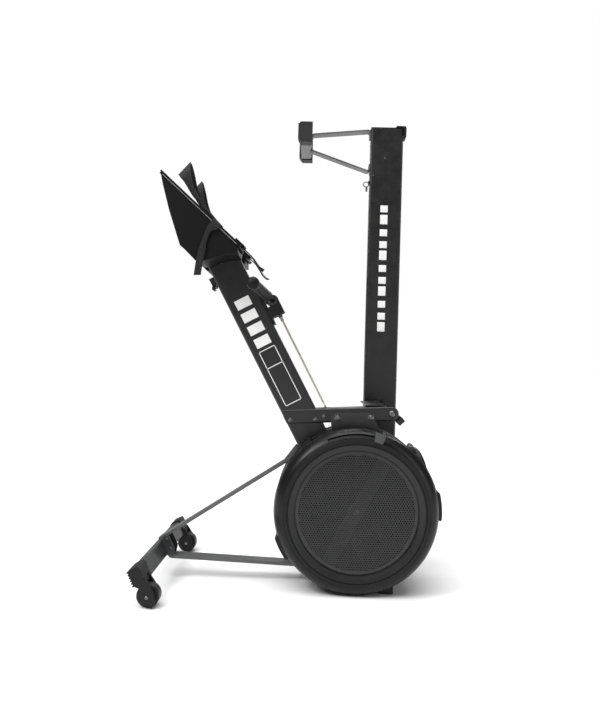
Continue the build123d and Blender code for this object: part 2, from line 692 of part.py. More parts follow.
def strap_wrap(side):
    """Webbing over the plate's edge and down the side cover, ending in a hanging tail."""
    y0 = PLATE_OUT + 0.3
    over = on_plate(block(213, 245, PLATE_OUT - 14, y0 + STRAP_T, 5.4, 5.4 + STRAP_T))
    side_run = on_plate(block(213, 245, y0, y0 + STRAP_T, -30, 5.4))
    tail = prism([plate_point(213, -30), plate_point(245, -30), (-465, 1020), (-478, 934), (-498, 935),
                  (-492, 1003), (-475, 1042)], y0, y0 + STRAP_T)
    return sided(side, over + side_run + tail)


def strap_buckle(side):
    """Cam buckle at the toe end, with its loose end."""
    frame = block(286, 322, 70, 112, 0.3, 5) + block(296, 312, 66, 116, 5, 12)
    loose = block(322, 356, 82, 106, 3, 3 + STRAP_T)
    return sided(side, on_plate(frame + loose))


# ---- seat rail, rear leg and rear foot ----

def seat_rail():
    """Rectangular tube with a storage stud on its side."""
    x0, x1 = RAIL_X
    body = tube(x1 - x0, RAIL_Y[1] - RAIL_Y[0], 16, RAIL_TOP, WALL)
    body = Pos((x0 + x1) / 2, RAIL_MID, 0) * body
    stud = disc((98, 546), 6.0, 205, RAIL_Y[0]) + disc((98, 546), 10, 202, 205)
    return body + stud


def rail_track():
    x1 = RAIL_X[1]
    return block(x1, x1 + TRACK_T, RAIL_MID - TRACK_W / 2, RAIL_MID + TRACK_W / 2, 20, RAIL_TOP - 44)


def rail_end_cap():
    """Plug and pointed stop at the rail's rear end."""
    x0, x1 = RAIL_X
    plug = block(x0 + WALL, x1 - WALL, RAIL_Y[0] + WALL, RAIL_Y[1] - WALL, RAIL_TOP - 14, RAIL_TOP)
    plug = fillet(plug.edges().filter_by(Axis.Z), WALL)
    lid = block(x0, x1, RAIL_Y[0], RAIL_Y[1], RAIL_TOP, RAIL_TOP + 4)
    stop = prism([(x1 - 26, RAIL_TOP + 4), (x1 - 22, RAIL_TOP + 9), (x1 + 8, RAIL_TOP + 8),
                  (x1 + 11, RAIL_TOP + 2), (x1 + 11, RAIL_TOP - 28), (x1 + TRACK_T, RAIL_TOP - 22),
                  (x1 + TRACK_T, RAIL_TOP + 4)], RAIL_Y[0] - 4, RAIL_Y[1] + 4)
    return plug + lid + stop


def rail_foot():
    """Front end fitting: a plug the rail stands on, with the hook for use."""
    x0, x1 = RAIL_X
    lid = block(x0, x1, RAIL_Y[0], RAIL_Y[1], 0, 16)
    lid = fillet(lid.edges().filter_by(Axis.Z), 2 * WALL)
    plug = block(x0 + WALL, x1 - WALL, RAIL_Y[0] + WALL, RAIL_Y[1] - WALL, 16, 34)
    plug = fillet(plug.edges().filter_by(Axis.Z), WALL)
    stop = block(x1 + 0.3, x1 + 26, RAIL_MID - 20, RAIL_MID + 20, 4, 16)
    return lid + plug + stop + block(x1 - 6, x1 + 1, RAIL_MID - 20, RAIL_MID + 20, 4, 16)


def seat_stop():
    """Rubber block on the track that the seat rests on while the rail stands up."""
    x1 = RAIL_X[1] + TRACK_T
    return block(x1, x1 + 45, RAIL_MID - 15, RAIL_MID + 15, SEAT_Z[0] - 4, SEAT_Z[0] + 17.7)


def rear_crossbar():
    x0, x1 = REAR_FOOT_X
    mid = Pos((x0 + x1) / 2, RAIL_MID, (REAR_FOOT_Z[0] + REAR_FOOT_Z[1]) / 2)
    depth, height = x1 - x0, REAR_FOOT_Z[1] - REAR_FOOT_Z[0]
    outer = fillet(Box(depth, 2 * REAR_FOOT_HALF - 8, height).edges().filter_by(Axis.Y), 5)
    bore = fillet(Box(depth - 6, 2 * REAR_FOOT_HALF, height - 6).edges().filter_by(Axis.Y), 3)
    return mid * (outer - bore)


def rear_cap(side):
    """Rubber boot on one end of the rear foot, with a ribbed sole."""
    (x0, x1), (z0, z1) = REAR_FOOT_X, REAR_FOOT_Z
    outline = [(x0 - 5, z0 + 8), (x0 - 5, z1 - 4), (x0 + 1, z1 + 4), (x1 + 4, z1 + 4), (x1 + 4, z0 - 3),
               (x0 + 5, z0 - 3)]
    boot = prism(outline, REAR_FOOT_HALF - 38, REAR_FOOT_HALF)
    for i in range(6):
        z = z0 + 12 + 9 * i
        boot += block(x0 - 7, x0 - 4, REAR_FOOT_HALF - 36, REAR_FOOT_HALF - 2, z, z + 4)
    boot -= block(x0, x1, 0, REAR_FOOT_HALF - 4, z0, z1)
    return Pos(0, RAIL_MID, 0) * sided(side, boot)


def rear_leg_upper():
    """Flat bar from the rear foot to the rail, with a flange at each end."""
    x0, x1 = REAR_FOOT_X[1] + 2.6, RAIL_X[0] - 2.6
    return strip([(x0, 1478), (x0, 1499.5), (x1, 1518), (x1, 1492)], 36, 5, RAIL_MID)


def rear_leg_lower():
    x0, x1 = REAR_FOOT_X[1] + 2.6, RAIL_X[0] - 2.6
    return strip([(x0, 1468), (x0, 1442.5), (x1, 1371.5), (x1, 1398)], 36, 5, RAIL_MID)


def rear_bolts():
    """Bolts of the rear leg and the hanging pin beside them."""
    heads = []
    for way in (-1, 1):
        face = RAIL_Y[0] if way < 0 else RAIL_Y[1]
        heads.append(bolt((RAIL_X[0] + 9, 1358), face, 5, way))
        heads.append(bolt((92, 1418), face, 4.5, way))
    return Compound(heads)


def rail_pin():
    """Lock pin hanging on the rail below the rear leg."""
    x = RAIL_X[0] - 13
    ring = Pos(x, RAIL_Y[0] + 12, 1326) * Rot(90, 0, 0) * Torus(9, 1.8)
    stem = Pos(x + 2, RAIL_Y[0] + 12, 1310) * Cylinder(3.5, 18)
    lug = block(RAIL_X[0] - 6, RAIL_X[0], RAIL_Y[0] + 6, RAIL_Y[0] + 18, 1324, 1338)
    return ring + stem + lug


# ---- seat ----

def seat_pad():
    """Moulded saddle: raised at the back and at both sides."""
    z0, z1 = SEAT_Z
    side = [(206, z0 + 4), (222, z0), (240, z0 + 14), (244, z0 + 56), (243, z0 + 100), (SEAT_TOP, z1 - 85),
            (242, z1 - 48), (229, z1 - 16), (216, z1), (206, z1 - 2)]
    face = make_face((Spline(*side) + Line(side[-1], side[0])).edges())
    pad = extrude(Plane.XZ.offset(SEAT_HALF - RAIL_MID) * face, 2 * SEAT_HALF, (0, 1, 0))
    plan = RectangleRounded(z1 - z0 - 2, 2 * SEAT_HALF, 62)
    cut = extrude(Plane((150, RAIL_MID, (z0 + z1) / 2), x_dir=(0, 0, 1), z_dir=(1, 0, 0)) * plan, amount=140)
    hollow = Pos(330, RAIL_MID, (z0 + z1) / 2 - 20) * Cylinder(96, z1 - z0 - 90)
    recess = block(190, 224, RAIL_MID - SEAT_HALF + 18, RAIL_MID + SEAT_HALF - 18, z0 + 22, z1 - 22)
    return (pad & cut) - hollow - recess


def seat_carriage():
    """Channel below the pad with axles for its rollers."""
    z0, z1 = SEAT_Z
    x = RAIL_X[1] + TRACK_T
    roof = block(x + 42, x + 48, RAIL_MID - 34, RAIL_MID + 34, z0 + 18, z1 - 18)
    cheeks = []
    for y0, y1 in ((RAIL_Y[0] - 14, RAIL_Y[0] - 9), (RAIL_Y[1] + 9, RAIL_Y[1] + 14)):
        cheeks.append(block(x - 34, x + 46, y0, y1, z0 + 22, z1 - 22))
    return roof + cheeks[0] + cheeks[1] - roller_pins(0.0)


def roller_at(name):
    """Point (x, z) of a roller axle."""
    z = {"upper": SEAT_Z[1] - 52, "lower": SEAT_Z[0] + 52}[name]
    return (RAIL_X[1] + TRACK_T + ROLLER_R + 0.3, z)


def roller_pins(less):
    pins = disc(roller_at("upper"), 4.0 - less, RAIL_Y[0] - 16, RAIL_Y[1] + 16)
    return pins + disc(roller_at("lower"), 4.0 - less, RAIL_Y[0] - 16, RAIL_Y[1] + 16)


def seat_roller(name):
    """Pair of tyres on one hub, running on the track."""
    at = roller_at(name)
    body = disc(at, ROLLER_R, RAIL_MID - 15, RAIL_MID - 4) + disc(at, ROLLER_R, RAIL_MID + 4, RAIL_MID + 15)
    body += disc(at, 11, RAIL_MID - 20, RAIL_MID + 20)
    return body - disc(at, 4.0, RAIL_Y[0], RAIL_Y[1])


def seat_glides():
    """Small glides below the track's edges that keep the seat on the rail."""
    pads = []
    for y0, y1 in ((RAIL_Y[0] - 10, RAIL_Y[0] - 0.5), (RAIL_Y[1] + 0.5, RAIL_Y[1] + 10)):
        for z in (SEAT_Z[0] + 52, SEAT_Z[1] - 52):
            pads.append(disc((RAIL_X[1] - 20.5, z), 8, y0, y1))
    return pads[0] + pads[1] + pads[2] + pads[3]


def fixed_pins():
    """Pins and axle bolts that the front section's moving pieces turn on."""
    return group(idler_pin(), magnet_pin(), pivot_bolt(), wheel_bolt(-1), wheel_bolt(1))


def group(*shapes):
    """One node of several loose solids."""
    return Compound([solid for shape in shapes for solid in shape.solids()])


def pieces():
    """Every node, by name."""
    out = {
        "main_beam": main_beam() + latch_yoke(), "post_channel": post_channel(),
        "drum_bracket": drum_bracket(), "frame_bolts": group(frame_bolts(), leg_screws()),
        "fixed_pins": fixed_pins(), "idler_sprocket": idler_sprocket(),
        "monitor_bracket": monitor_bracket(), "storage_bracket": storage_bracket(),
        "handle_holder": handle_holder(), "rail_socket": rail_socket(), "rail_latch": rail_latch(),
        "front_crossbar": front_crossbar() + leg_bracket(), "front_leg_upper": front_leg_upper(),
        "front_leg_lower": front_leg_lower() + drum_cradle(), "storage_foot": storage_foot(),
        "rim_band": rim_band(), "shell_clasps": shell_clasps(), "axle": axle(),
        "axle_brackets": group(axle_bracket(-1), axle_bracket(1)),
        "fan": fan(), "brake_disc": brake_disc(), "drive_sprocket": drive_sprocket(),
        "resistance_lever": resistance_lever(), "magnet_bracket": magnet_bracket(),
        "chain_core": chain_core(), "chain_plates": chain_plates(), "handle_bar": handle_bar(),
        "handle_grips": group(handle_grip(-1), handle_grip(1)), "handle_yoke": handle_yoke(),
        "footrest_tubes": footrest_tubes(),
        "footrest_covers": group(footrest_cover(-1), footrest_cover(1)),
        "strap_buckles": group(strap_buckle(-1), strap_buckle(1)),
        "seat_rail": seat_rail(), "rail_track": rail_track(), "rail_end_cap": rail_end_cap(),
        "rail_foot": rail_foot(), "seat_stop": seat_stop(), "rear_crossbar": rear_crossbar(),
        "rear_caps": group(rear_cap(-1), rear_cap(1)), "rear_leg_upper": rear_leg_upper(),
        "rear_leg_lower": rear_leg_lower(), "rear_fasteners": group(rear_bolts(), rail_pin()),
        "seat_pad": seat_pad(), "seat_carriage": seat_carriage() + seat_glides(),
    }
    for name in ROLLER_AXLES:
        out[f"seat_roller_{name}"] = seat_roller(name)
    for word, side in (("right", -1), ("left", 1)):
        out[f"front_cap_{word}"] = front_cap(side)
        out[f"transport_wheel_{word}"] = transport_wheel(side)
        out[f"drum_shell_{word}"] = drum_shell(side)
        out[f"grille_{word}"] = grille(side)
        out[f"foot_plate_{word}"] = foot_plate(side)
        out[f"heel_cup_{word}"] = heel_cup(side)
        out[f"toe_strap_{word}"] = toe_strap(side) + strap_wrap(side)
    return out


if __name__ == "__main__":
    os.makedirs("parts", exist_ok=True)
    for node, shape in pieces().items():
        write(node, shape)
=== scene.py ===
from math import atan2, ceil, cos, hypot, radians, sin, sqrt, tau

import bmesh
import bpy
from mathutils import Matrix, Vector


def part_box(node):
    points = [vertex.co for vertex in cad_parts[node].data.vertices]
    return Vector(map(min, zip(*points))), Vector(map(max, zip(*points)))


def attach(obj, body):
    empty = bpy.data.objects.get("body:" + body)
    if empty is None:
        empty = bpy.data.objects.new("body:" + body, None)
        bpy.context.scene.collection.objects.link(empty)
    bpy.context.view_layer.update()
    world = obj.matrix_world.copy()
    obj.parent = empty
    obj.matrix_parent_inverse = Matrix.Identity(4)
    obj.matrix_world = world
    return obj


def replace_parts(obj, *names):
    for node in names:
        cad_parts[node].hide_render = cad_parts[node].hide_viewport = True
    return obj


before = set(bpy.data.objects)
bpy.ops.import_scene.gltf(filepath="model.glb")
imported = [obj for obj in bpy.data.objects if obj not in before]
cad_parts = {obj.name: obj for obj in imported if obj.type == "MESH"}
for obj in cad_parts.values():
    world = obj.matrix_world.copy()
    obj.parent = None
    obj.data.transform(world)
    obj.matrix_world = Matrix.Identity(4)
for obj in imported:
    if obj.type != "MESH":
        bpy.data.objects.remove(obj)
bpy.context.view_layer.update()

# ---- measures ----
# Numbers are in millimetres unless a line says otherwise, and MM turns them into Blender's metres.
# X and Z count from the floor point below the drum's axle, Y from the front section's mid plane.
# A side is -1 on the right and 1 on the left.
MM = 0.001


def centre(node):
    """Middle of a CAD node's box, in metres."""
    low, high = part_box(node)
    return (Vector(low) + Vector(high)) / 2


def size(node):
    """Extents of a CAD node's box, in metres."""
    low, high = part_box(node)
    return Vector(high) - Vector(low)


AXLE = centre("rim_band")
RIM = size("rim_band").z / 2 / MM
DRUM_Z = AXLE.z / MM
RAIL_Y = (centre("rail_track").y - AXLE.y) / MM

BEAM_LOW, BEAM_TILT, BEAM_W = (-133.5, 446.0), 28.4, 60.0
IDLER, IDLER_R, CHAIN_TILT = (-103.7, 522.5), 18.0, 28.1
CHAIN_START, CHAIN_END, HANDLE_AT = 12.0, 339.0, 397.0
PLATE_HEEL, PLATE_TOE, PLATE_OUT = (-607.6, 1240.8), (-364.8, 1024.0), 165.0
PLATE_TILT = atan2(PLATE_HEEL[1] - PLATE_TOE[1], PLATE_TOE[0] - PLATE_HEEL[0])
PLATE_LENGTH = hypot(PLATE_TOE[0] - PLATE_HEEL[0], PLATE_HEEL[1] - PLATE_TOE[1])


def place(x, y, z):
    """Design millimetres to the row frame."""
    return Vector((AXLE.x + x * MM, AXLE.y + y * MM, z * MM))


def on_plate(s, y, n):
    """A point on a footrest: s from heel to toe, n out of its face."""
    return place(PLATE_HEEL[0] + s * cos(PLATE_TILT) + n * sin(PLATE_TILT), y,
                 PLATE_HEEL[1] - s * sin(PLATE_TILT) + n * cos(PLATE_TILT))


def up_line(at, tilt, up, out, y):
    """A point up a line that leans back by tilt degrees, and out to its right."""
    t = radians(tilt)
    return place(at[0] - up * sin(t) + out * cos(t), y, at[1] + up * cos(t) + out * sin(t))


def on_drum(radius, angle, y):
    """A point about the drum's axle; the angle counts from +X towards +Z."""
    return place(radius * cos(radians(angle)), y, DRUM_Z + radius * sin(radians(angle)))


# ---- camera ----

def make_camera():
    """The one estimated camera: turned from +Y towards +X, pitched up, then rolled."""
    lens_mm, turn, pitch, roll = 31.93, radians(-1.306), radians(0.321), radians(1.613)
    look = Vector((sin(turn) * cos(pitch), cos(turn) * cos(pitch), sin(pitch)))
    level = Vector((cos(turn), -sin(turn), 0))
    over = level.cross(look)
    right = level * cos(roll) + over * sin(roll)
    over = right.cross(look)
    data = bpy.data.cameras.new("camera")
    data.lens = lens_mm
    cam = bpy.data.objects.new("camera", data)
    cam.matrix_world = Matrix((right, over, -look)).transposed().to_4x4()
    cam.location = place(-135.9, -2050.3, 674.7)
    bpy.context.scene.collection.objects.link(cam)
    bpy.context.scene.camera = cam


make_camera()


# ---- materials ----

class Net:
    """A few short words for building a material's nodes."""

    def __init__(self, name):
        self.mat = bpy.data.materials.new(name)
        self.mat.use_nodes = True
        self.tree = self.mat.node_tree
        self.tree.nodes.clear()
        self.out = self.add("OutputMaterial")
        self.shader = self.add("BsdfPrincipled")
        self.link(self.shader.outputs[0], self.out.inputs[0])

    def add(self, kind, **values):
        node = self.tree.nodes.new("ShaderNode" + kind)
        for key, value in values.items():
            setattr(node, key, value)
        return node

    def link(self, a, b):
        self.tree.links.new(a, b)

    def set(self, **values):
        for key, value in values.items():
            self.shader.inputs[key.replace("_", " ")].default_value = value

    def place(self, kind="Object", stretch=None):
        socket = self.add("TexCoord").outputs[kind]
        if stretch is None:
            return socket
        mapping = self.add("Mapping")
        mapping.inputs["Scale"].default_value = stretch
        self.link(socket, mapping.inputs["Vector"])
        return mapping.outputs[0]

    def noise(self, where, scale, detail=3.0, rough=0.55):
        tex = self.add("TexNoise")
        tex.inputs["Scale"].default_value = scale
        tex.inputs["Detail"].default_value = detail
        tex.inputs["Roughness"].default_value = rough
        self.link(where, tex.inputs["Vector"])
        return tex.outputs["Fac"]

    def voronoi(self, where, scale):
        tex = self.add("TexVoronoi")
        tex.inputs["Scale"].default_value = scale
        self.link(where, tex.inputs["Vector"])
        return tex.outputs["Distance"]

    def span(self, value, low, high, a=0.0, b=1.0):
        node = self.add("MapRange")
        for key, number in (("From Min", a), ("From Max", b), ("To Min", low), ("To Max", high)):
            node.inputs[key].default_value = number
        self.link(value, node.inputs["Value"])
        return node.outputs[0]

    def math(self, kind, a, b=None):
        node = self.add("Math", operation=kind)
        for socket, value in zip(node.inputs, (a, b)):
            if isinstance(value, (int, float)):
                socket.default_value = value
            elif value is not None:
                self.link(value, socket)
        return node.outputs[0]

    def colours(self, value, *stops):
        """Colour ramp from (place, colour) stops."""
        ramp = self.add("ValToRGB")
        parts = ramp.color_ramp.elements
        while len(parts) < len(stops):
            parts.new(0.5)
        for part, (spot, colour) in zip(parts, stops):
            part.position = spot
            part.color = (*colour, 1)
        self.link(value, ramp.inputs[0])
        return ramp.outputs[0]

    def bump(self, height, strength, distance, before=None):
        node = self.add("Bump")
        node.inputs["Strength"].default_value = strength
        node.inputs["Distance"].default_value = distance
        self.link(height, node.inputs["Height"])
        if before is not None:
            self.link(before, node.inputs["Normal"])
        return node.outputs[0]

    def rounded(self, radius):
        """Normal that rounds off hard edges."""
        node = self.add("Bevel", samples=4)
        node.inputs["Radius"].default_value = radius
        return node.outputs[0]

    def edges(self, radius, low, high):
        """1 along the edges and 0 on flat faces."""
        soft = self.rounded(radius)
        hard = self.add("NewGeometry").outputs["Normal"]
        dot = self.add("VectorMath", operation="DOT_PRODUCT")
        self.link(soft, dot.inputs[0])
        self.link(hard, dot.inputs[1])
        return self.span(dot.outputs["Value"], 1.0, 0.0, low, high)


def shade(colour, factor):
    """A colour made darker or lighter."""
    return tuple(c * factor for c in colour)


def mixed(net, fac, a, b):
    """Colour a where fac is 0, colour b where it is 1."""
    node = net.add("Mix", data_type="RGBA")
    net.link(fac, node.inputs["Factor"])
    net.link(a, node.inputs["A"])
    net.link(b, node.inputs["B"])
    return node.outputs["Result"]


def coated(name, colour, rough, grain=1100.0, depth=0.00006, specular=0.5, edge_wear_and_highlight=0.5, edge=0.0008,
           mottle=0.12):
    """Powder coat, paint or moulded plastic: orange peel, faint mottling, and lighter edges that are partly
    rubbed wear and partly a painted edge highlight.
    """
    net = Net(name)
    where = net.place()
    cloud = net.noise(where, 9.0, 4.0)
    fine = net.noise(where, grain, 2.0)
    # Lighter colour along the edges, in random patches: partly rubbed wear, partly a painted edge highlight.
    worn_and_lit_edges = net.math("MULTIPLY", net.edges(edge * 1.6, 0.72, 0.97), net.span(cloud, 0.0, edge_wear_and_highlight, 0.35, 0.65))
    base = net.colours(cloud, (0.3, shade(colour, 1 - mottle)), (0.7, shade(colour, 1 + mottle)))
    rubbed_and_highlight_colour = net.colours(fine, (0.3, shade(colour, 1.8)), (0.7, shade(colour, 2.6)))
    net.link(mixed(net, worn_and_lit_edges, base, rubbed_and_highlight_colour), net.shader.inputs["Base Color"])
    smudge = net.span(net.noise(where, 34.0, 5.0), rough - 0.06, rough + 0.09, 0.3, 0.7)
    net.link(smudge, net.shader.inputs["Roughness"])
    net.link(net.bump(fine, 0.5, depth, net.rounded(edge)), net.shader.inputs["Normal"])
    net.set(Specular_IOR_Level=specular)
    return net.mat


def brushed(name, colour, rough, stretch=(1400, 1400, 12), edge=0.0005):
    """Bare metal drawn along one axis."""
    net = Net(name)
    drawn = net.noise(net.place("Object", stretch), 1.0, 4.0)
    cloud = net.noise(net.place(), 21.0, 4.0)
    tone = net.colours(cloud, (0.3, shade(colour, 0.86)), (0.7, colour))
    net.link(tone, net.shader.inputs["Base Color"])
    net.link(net.span(drawn, rough - 0.08, rough + 0.12, 0.3, 0.7), net.shader.inputs["Roughness"])
    net.link(net.bump(drawn, 0.25, 0.00004, net.rounded(edge)), net.shader.inputs["Normal"])
    net.set(Metallic=1.0)
    return net.mat


def pebbled(name, colour, rough, scale, depth, sheen=0.0, edge=0.001, specular=0.25):
    """Rubber, foam or leather-like skin with a cell grain."""
    net = Net(name)
    where = net.place()
    cells = net.voronoi(where, scale)
    cloud = net.noise(where, 14.0, 4.0)
    tone = net.colours(cloud, (0.3, shade(colour, 0.8)), (0.7, shade(colour, 1.2)))
    net.link(tone, net.shader.inputs["Base Color"])
    net.link(net.span(cells, rough + 0.08, rough - 0.06, 0.0, 0.8), net.shader.inputs["Roughness"])
    fine = net.bump(net.noise(where, scale * 3.1, 2.0), 0.3, depth * 0.5, net.rounded(edge))
    net.link(net.bump(cells, 0.6, depth, fine), net.shader.inputs["Normal"])
    net.set(Sheen_Weight=sheen, Sheen_Roughness=0.4, Specular_IOR_Level=specular)
    return net.mat


def woven(name, colour):
    """Webbing: crossed threads with some fuzz, darker in the dips between threads and lighter on their crowns
    as painted shade and highlight. UV is in millimetres.
    """
    net = Net(name)
    where = net.place("UV")
    split = net.add("SeparateXYZ")
    net.link(where, split.inputs[0])
    rib, thread_w = 1.9, 1.35
    along = net.math("SINE", net.math("MULTIPLY", split.outputs["X"], tau / rib))
    across = net.math("SINE", net.math("MULTIPLY", split.outputs["Y"], tau / thread_w))
    thread = net.math("MULTIPLY", along, across)
    fuzz = net.noise(where, 2.3, 4.0)
    height = net.math("ADD", thread, net.math("MULTIPLY", fuzz, 0.8))
    # Colour follows the weave's height: painted shade in the dips, painted highlight on the crowns, random
    # tone from the fuzz.
    tone = net.colours(net.span(height, 0.0, 1.0, -1.0, 1.8), (0.1, shade(colour, 0.45)),
                       (0.75, shade(colour, 1.5)))
    net.link(tone, net.shader.inputs["Base Color"])
    net.link(net.span(fuzz, 0.42, 0.62, 0.3, 0.7), net.shader.inputs["Roughness"])
    net.link(net.bump(height, 0.7, 0.0003), net.shader.inputs["Normal"])
    net.set(Sheen_Weight=0.12, Sheen_Roughness=0.35, Specular_IOR_Level=0.2)
    return net.mat


MATERIALS = {
    "frame_black": coated("frame_black", (0.0105, 0.0105, 0.0112), 0.38, edge_wear_and_highlight=0.35),
    "drum_black": coated("drum_black", (0.0062, 0.0062, 0.0065), 0.30, grain=1900.0, depth=0.00004, edge_wear_and_highlight=0.2,
                         specular=0.24),
    "grille_black": coated("grille_black", (0.030, 0.030, 0.031), 0.36, edge_wear_and_highlight=0.3, edge=0.0002, specular=0.4),
    "leg_grey": coated("leg_grey", (0.082, 0.083, 0.085), 0.40, edge_wear_and_highlight=0.3, specular=0.6),
    "cap_black": pebbled("cap_black", (0.009, 0.009, 0.0095), 0.52, 1500.0, 0.00008),
    "rubber_black": pebbled("rubber_black", (0.022, 0.022, 0.022), 0.62, 1100.0, 0.0001),
    "wheel_black": pebbled("wheel_black", (0.011, 0.011, 0.012), 0.45, 1300.0, 0.00006),
    "bolt_steel": brushed("bolt_steel", (0.17, 0.17, 0.175), 0.24, (500, 500, 500)),
    "track_steel": brushed("track_steel", (0.56, 0.57, 0.58), 0.33),
    # dark_steel and fan_black are partly the parts' own dark finish and partly painted shade, made near black
    # so the drum's inside reads dark.
    "dark_steel": brushed("dark_steel", (0.035, 0.035, 0.037), 0.42, (500, 500, 500)),
    "fan_black": coated("fan_black", (0.0025, 0.0025, 0.0026), 0.8, specular=0.06, edge_wear_and_highlight=0.1),
    "disc_aluminium": brushed("disc_aluminium", (0.78, 0.79, 0.80), 0.30, (90, 900, 90)),
    "lever_grey": coated("lever_grey", (0.055, 0.056, 0.058), 0.42, grain=1900.0, edge_wear_and_highlight=0.2),
    "chain_brass": brushed("chain_brass", (0.66, 0.58, 0.40), 0.30, (400, 400, 400), edge=0.0003),
    "grip_black": pebbled("grip_black", (0.007, 0.007, 0.0075), 0.50, 900.0, 0.00014, sheen=0.02,
                          specular=0.16),
    "footrest_black": pebbled("footrest_black", (0.0035, 0.0035, 0.0038), 0.55, 1700.0, 0.00006,
                              specular=0.15),
    "strap_black": woven("strap_black", (0.010, 0.010, 0.011)),
    "seat_black": pebbled("seat_black", (0.013, 0.013, 0.0135), 0.46, 700.0, 0.00016, sheen=0.05, edge=0.002),
}
# Darker copy of leg grey for the front crossbar: painted shade.
CROSSBAR_PAINTED_SHADE = coated("crossbar_grey_painted_shade", (0.030, 0.031, 0.032), 0.36, edge_wear_and_highlight=0.3, specular=0.45)
# Lighter copy of frame black for the drum bracket: painted light.
BRACKET_PAINTED_LIGHT = coated("bracket_black_painted_light", (0.022, 0.022, 0.023), 0.36, edge_wear_and_highlight=0.4, specular=0.6)
# Lighter copy of drum black for the face rings: painted light.
FACE_RING_PAINTED_LIGHT = coated("face_ring", (0.017, 0.017, 0.0175), 0.38, grain=1900.0, edge_wear_and_highlight=0.2, specular=0.3)
PRINT = coated("print_white", (0.80, 0.80, 0.79), 0.5, edge_wear_and_highlight=0.0, mottle=0.04)


def dress_cad():
    """Each CAD node gets the material of its record slot; the front crossbar gets a darker copy of leg grey
    as painted shade, and the drum bracket a lighter copy of frame black as painted light.
    """
    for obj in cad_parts.values():
        for spot in obj.material_slots:
            key = spot.material.name.split(".")[0]
            if key in MATERIALS:
                spot.material = MATERIALS[key]
    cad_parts["front_crossbar"].material_slots[0].material = CROSSBAR_PAINTED_SHADE
    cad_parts["drum_bracket"].material_slots[0].material = BRACKET_PAINTED_LIGHT


dress_cad()


# ---- building pieces ----

def piece(name, bm, slot, body, smooth=38, material=None):
    """A finished mesh becomes a piece that rides on a body."""
    bmesh.ops.recalc_face_normals(bm, faces=bm.faces)
    mesh = bpy.data.meshes.new(name)
    bm.to_mesh(mesh)
    bm.free()
    mesh.materials.append(material or MATERIALS[slot])
    mesh.shade_smooth()
    mesh.set_sharp_from_angle(angle=radians(smooth))
    obj = bpy.data.objects.new(name, mesh)
    bpy.context.scene.collection.objects.link(obj)
    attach(obj, body)
    return obj


def skin(bm, rows, ring=False, tube=True, marks=None):
    """Quads between rows of points. ring joins the last row to the first, tube closes each row."""
    grid = [[bm.verts.new(p) for p in row] for row in rows]
    count, across = len(rows), len(rows[0])
    made = []
    for i in range(count if ring else count - 1):
        a, b = grid[i], grid[(i + 1) % count]
        for j in range(across if tube else across - 1):
            k = (j + 1) % across
            made.append(bm.faces.new((a[j], a[k], b[k], b[j])))
    if tube and not ring:
        made.append(bm.faces.new(list(reversed(grid[0]))))
        made.append(bm.faces.new(grid[-1]))
    if marks is not None:
        layer = bm.loops.layers.uv.verify()
        spots = {vert: spot for row, line in zip(grid, marks) for vert, spot in zip(row, line)}
        for face in made:
            for loop in face.loops:
                loop[layer].uv = spots[loop.vert]
    return grid


def brick(bm, at, x, y, z, soft=0.6):
    """Box between (low, high) spans, placed by the function at, with rounded edges."""
    fresh = bmesh.new()
    verts = bmesh.ops.create_cube(fresh, size=1.0)["verts"]
    for vert in verts:
        p = [low + (high - low) * (c + 0.5) for c, (low, high) in zip(vert.co, (x, y, z))]
        vert.co = at(*p)
    bmesh.ops.bevel(fresh, geom=fresh.edges[:], offset=soft * MM, segments=2, profile=0.6, affect="EDGES")
    join(bm, fresh)


def join(bm, extra):
    """Add the mesh extra to bm."""
    mesh = bpy.data.meshes.new("join")
    extra.to_mesh(mesh)
    extra.free()
    bm.from_mesh(mesh)
    bpy.data.meshes.remove(mesh)


def lathe(bm, start, axis, outline, steps=32):
    """Turn (distance, radius) points in millimetres about an axis from start."""
    axis = axis.normalized()
    side = axis.orthogonal().normalized()
    up = axis.cross(side)
    rows = []
    for i in range(steps):
        a = tau * i / steps
        spoke = side * cos(a) + up * sin(a)
        rows.append([start + (axis * d + spoke * r) * MM for d, r in outline])
    skin(bm, rows, ring=True, tube=False)


def drum_ring(bm, outline, first=0.0, last=360.0, steps=160):
    """Closed outline of (radius, y) points turned about the drum's axle."""
    whole = last - first >= 360
    count = steps if whole else max(2, ceil(steps * (last - first) / 360))
    rows = []
    for i in range(count if whole else count + 1):
        a = first + (last - first) * i / count
        rows.append([on_drum(r, a, y) for r, y in outline])
    skin(bm, rows, ring=whole)


def flow(knots, steps=8):
    """Smooth curve through knots, each a list of vectors."""
    out = []
    last = len(knots) - 1
    for i in range(last):
        a, b, c, d = (knots[min(max(i + k, 0), last)] for k in (-1, 0, 1, 2))
        for j in range(steps):
            t = j / steps
            weights = (-t ** 3 + 2 * t ** 2 - t, 3 * t ** 3 - 5 * t ** 2 + 2,
                       -3 * t ** 3 + 4 * t ** 2 + t, t ** 3 - t ** 2)
            out.append([sum((v * w / 2 for v, w in zip(group, weights)), Vector())
                        for group in zip(a, b, c, d)])
    out.append(list(knots[-1]))
    return out


# A strap's section as shares of its half width and half thickness, thinner at the edges.
CROWN = 1.3
STRAP_SECTION = ((-1.0, -1.0), (-0.94, -CROWN), (0.94, -CROWN), (1.0, -1.0),
                 (1.0, 1.0), (0.94, CROWN), (-0.94, CROWN), (-1.0, 1.0))


